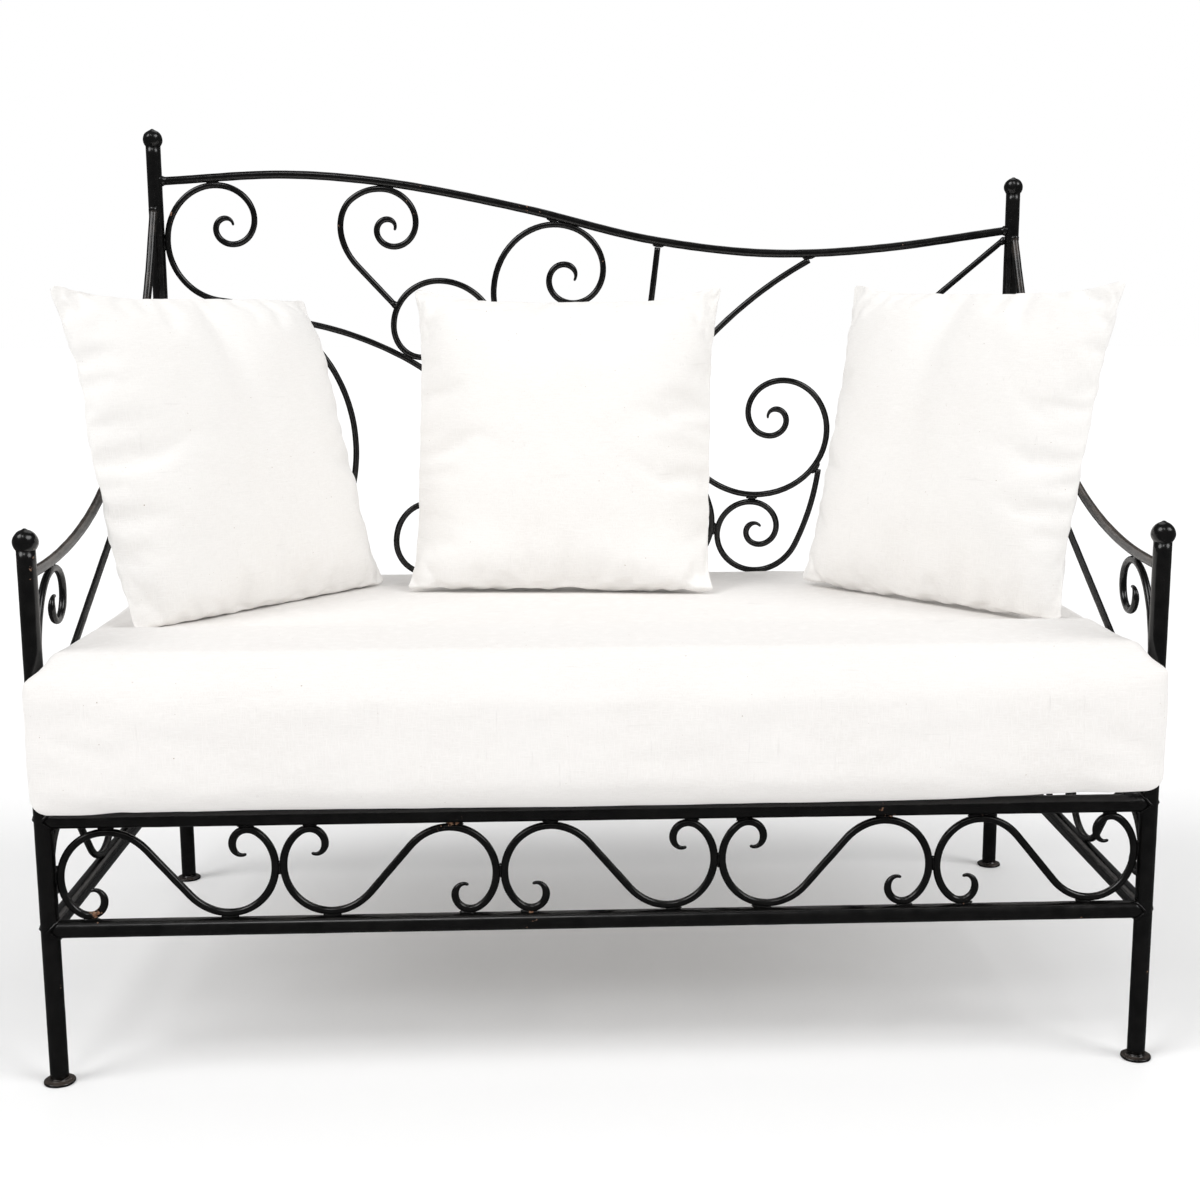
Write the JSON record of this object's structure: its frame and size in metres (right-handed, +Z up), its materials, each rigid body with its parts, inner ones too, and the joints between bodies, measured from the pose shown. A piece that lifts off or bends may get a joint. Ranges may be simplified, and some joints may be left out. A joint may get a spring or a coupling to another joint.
{
  "type": "daybed",
  "caption": "Small wrought-iron daybed with a wavy scrollwork back, sloping arms, scroll aprons, a box mattress and loose square cushions.",
  "frame": {"origin": "centre of the bounding box's bottom face, on the floor", "axes": "+X along the seat to the right seen from the front, +Y to the back rest, +Z up"},
  "size_m": [1.3674, 0.783, 1.148],
  "materials": {
    "frame_paint": "satin-gloss black paint over wrought iron, slightly chipped at welds and feet",
    "mattress_cover": "off-white slubbed cotton, matt",
    "cushion_cover": "off-white cotton, matt, knife-edge seams"
  },
  "bodies": {
    "frame": {"foot_disc_front_left": "frame_paint", "post_front_left": "frame_paint", "ball_finial_front_left": "frame_paint", "foot_disc_front_right": "frame_paint", "post_front_right": "frame_paint", "ball_finial_front_right": "frame_paint", "foot_disc_back_left": "frame_paint", "post_back_left": "frame_paint", "ball_finial_back_left": "frame_paint", "foot_disc_back_right": "frame_paint", "post_back_right": "frame_paint", "ball_finial_back_right": "frame_paint", "front_seat_rail": "frame_paint", "back_seat_rail": "frame_paint", "left_seat_rail": "frame_paint", "right_seat_rail": "frame_paint", "front_lower_rail": "frame_paint", "back_lower_rail": "frame_paint", "left_lower_rail": "frame_paint", "right_lower_rail": "frame_paint", "front_s_scroll_1": "frame_paint", "front_s_scroll_2": "frame_paint", "front_s_scroll_3": "frame_paint", "front_s_scroll_4": "frame_paint", "front_s_scroll_5": "frame_paint", "arm_bar_left": "frame_paint", "arm_c_scroll_left": "frame_paint", "arm_brace_left": "frame_paint", "side_s_scroll_left_1": "frame_paint", "side_s_scroll_left_2": "frame_paint", "side_c_scroll_left": "frame_paint", "arm_bar_right": "frame_paint", "arm_c_scroll_right": "frame_paint", "arm_brace_right": "frame_paint", "side_s_scroll_right_1": "frame_paint", "side_s_scroll_right_2": "frame_paint", "side_c_scroll_right": "frame_paint", "back_top_rail": "frame_paint", "back_scroll_rail": "frame_paint", "back_scroll_left_s": "frame_paint", "back_scroll_upper_left": "frame_paint", "back_scroll_upper_middle": "frame_paint", "back_scroll_long_arch": "frame_paint", "back_scroll_centre": "frame_paint", "back_scroll_hanging": "frame_paint", "back_branch_right": "frame_paint", "back_scroll_right": "frame_paint", "back_scroll_lower_middle": "frame_paint", "back_scroll_lower_right": "frame_paint", "seat_slat_1": "frame_paint", "seat_slat_2": "frame_paint", "seat_slat_3": "frame_paint", "seat_slat_4": "frame_paint", "seat_slat_5": "frame_paint", "seat_slat_6": "frame_paint", "seat_slat_7": "frame_paint"},
    "mattress": {"mattress": "mattress_cover"},
    "cushion_left": {"cushion_left": "cushion_cover"},
    "cushion_middle": {"cushion_middle": "cushion_cover"},
    "cushion_right": {"cushion_right": "cushion_cover"}
  },
  "joints": [
    {"name": "mattress_lift", "type": "slide", "parent": "frame", "child": "mattress", "axis": [0, 0, 1], "range_m": [0, 0.3]},
    {"name": "cushion_left_lift", "type": "slide", "parent": "mattress", "child": "cushion_left", "axis": [0, 0, 1], "range_m": [0, 0.5]},
    {"name": "cushion_middle_lift", "type": "slide", "parent": "mattress", "child": "cushion_middle", "axis": [0, 0, 1], "range_m": [0, 0.5]},
    {"name": "cushion_right_lift", "type": "slide", "parent": "mattress", "child": "cushion_right", "axis": [0, 0, 1], "range_m": [0, 0.5]}
  ]
}
